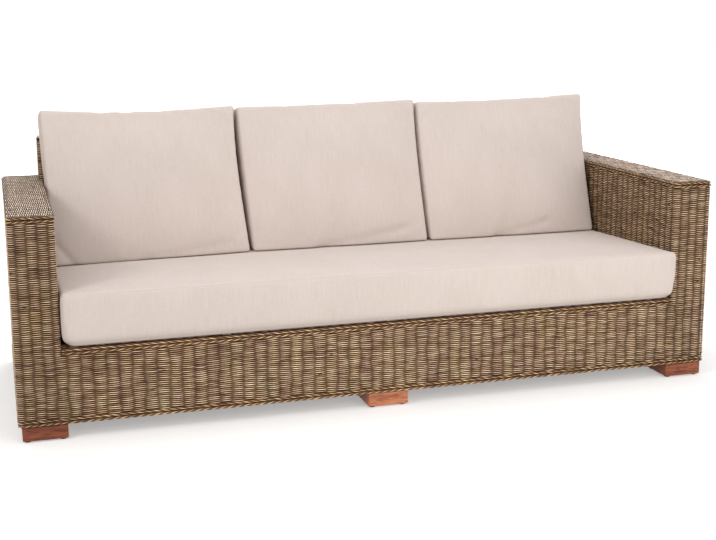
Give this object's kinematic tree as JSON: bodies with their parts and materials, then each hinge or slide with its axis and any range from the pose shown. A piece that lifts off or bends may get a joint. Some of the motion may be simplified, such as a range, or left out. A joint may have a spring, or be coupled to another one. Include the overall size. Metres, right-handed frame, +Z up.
{
  "type": "rattan garden sofa",
  "caption": "Low box-shaped garden sofa of woven rattan over a timber frame, on block feet, with a bench seat cushion and loose leaning back cushions.",
  "frame": {"origin": "on the ground, in the middle of the sofa's footprint", "axes": "+X along the seat to the right-hand arm as seen from the front, +Y from the front to the back, +Z up"},
  "size_m": [2.203, 0.8866, 0.8832],
  "materials": {
    "woven_rattan": "satin natural rattan, tan to brown, with dark gaps between the strands",
    "rattan_border": "satin natural rattan in thicker twisted strands",
    "frame_timber": "plain sawn hardwood",
    "foot_hardwood": "red-brown stained hardwood, satin",
    "cushion_fabric": "matt linen-look weave, pale beige"
  },
  "bodies": {
    "frame": {"foot_front_left": "foot_hardwood", "foot_front_middle": "foot_hardwood", "foot_front_right": "foot_hardwood", "foot_rear_left": "foot_hardwood", "foot_rear_middle": "foot_hardwood", "foot_rear_right": "foot_hardwood", "front_bottom_rail": "frame_timber", "rear_bottom_rail": "frame_timber", "left_bottom_rail": "frame_timber", "right_bottom_rail": "frame_timber", "middle_bearer": "frame_timber", "left_arm_front_post": "frame_timber", "left_arm_rear_post": "frame_timber", "left_arm_top_rail": "frame_timber", "right_arm_front_post": "frame_timber", "right_arm_rear_post": "frame_timber", "right_arm_top_rail": "frame_timber", "left_seat_rail": "frame_timber", "right_seat_rail": "frame_timber", "front_seat_rail": "frame_timber", "rear_seat_rail": "frame_timber", "front_middle_post": "frame_timber", "rear_middle_post": "frame_timber", "seat_slat_1": "frame_timber", "seat_slat_2": "frame_timber", "seat_slat_3": "frame_timber", "seat_slat_4": "frame_timber", "seat_slat_5": "frame_timber", "seat_slat_6": "frame_timber", "seat_slat_7": "frame_timber", "seat_slat_8": "frame_timber", "back_post_1": "frame_timber", "back_post_2": "frame_timber", "back_post_3": "frame_timber", "back_post_4": "frame_timber", "back_top_rail": "frame_timber", "back_stud_1": "frame_timber", "back_stud_2": "frame_timber", "front_skirt_weave": "woven_rattan", "rear_skirt_weave": "woven_rattan", "left_skirt_weave": "woven_rattan", "right_skirt_weave": "woven_rattan", "left_arm_weave": "woven_rattan", "right_arm_weave": "woven_rattan", "left_arm_top_weave": "woven_rattan", "right_arm_top_weave": "woven_rattan", "back_outer_weave": "woven_rattan", "back_inner_weave": "woven_rattan", "back_top_weave": "woven_rattan", "left_back_end_weave": "woven_rattan", "right_back_end_weave": "woven_rattan", "left_arm_border": "rattan_border", "right_arm_border": "rattan_border", "apron_border": "rattan_border"},
    "seat_cushion": {"seat_cushion": "cushion_fabric"},
    "back_cushion_left": {"back_cushion_left": "cushion_fabric"},
    "back_cushion_middle": {"back_cushion_middle": "cushion_fabric"},
    "back_cushion_right": {"back_cushion_right": "cushion_fabric"}
  },
  "joints": [
    {"name": "seat_cushion_pull", "type": "slide", "parent": "frame", "child": "seat_cushion", "axis": [0, -1, 0], "range_m": [0, 0.65]},
    {"name": "back_cushion_left_lift", "type": "slide", "parent": "frame", "child": "back_cushion_left", "axis": [0, 0, 1], "range_m": [0, 0.5]},
    {"name": "back_cushion_middle_lift", "type": "slide", "parent": "frame", "child": "back_cushion_middle", "axis": [0, 0, 1], "range_m": [0, 0.5]},
    {"name": "back_cushion_right_lift", "type": "slide", "parent": "frame", "child": "back_cushion_right", "axis": [0, 0, 1], "range_m": [0, 0.5]}
  ]
}
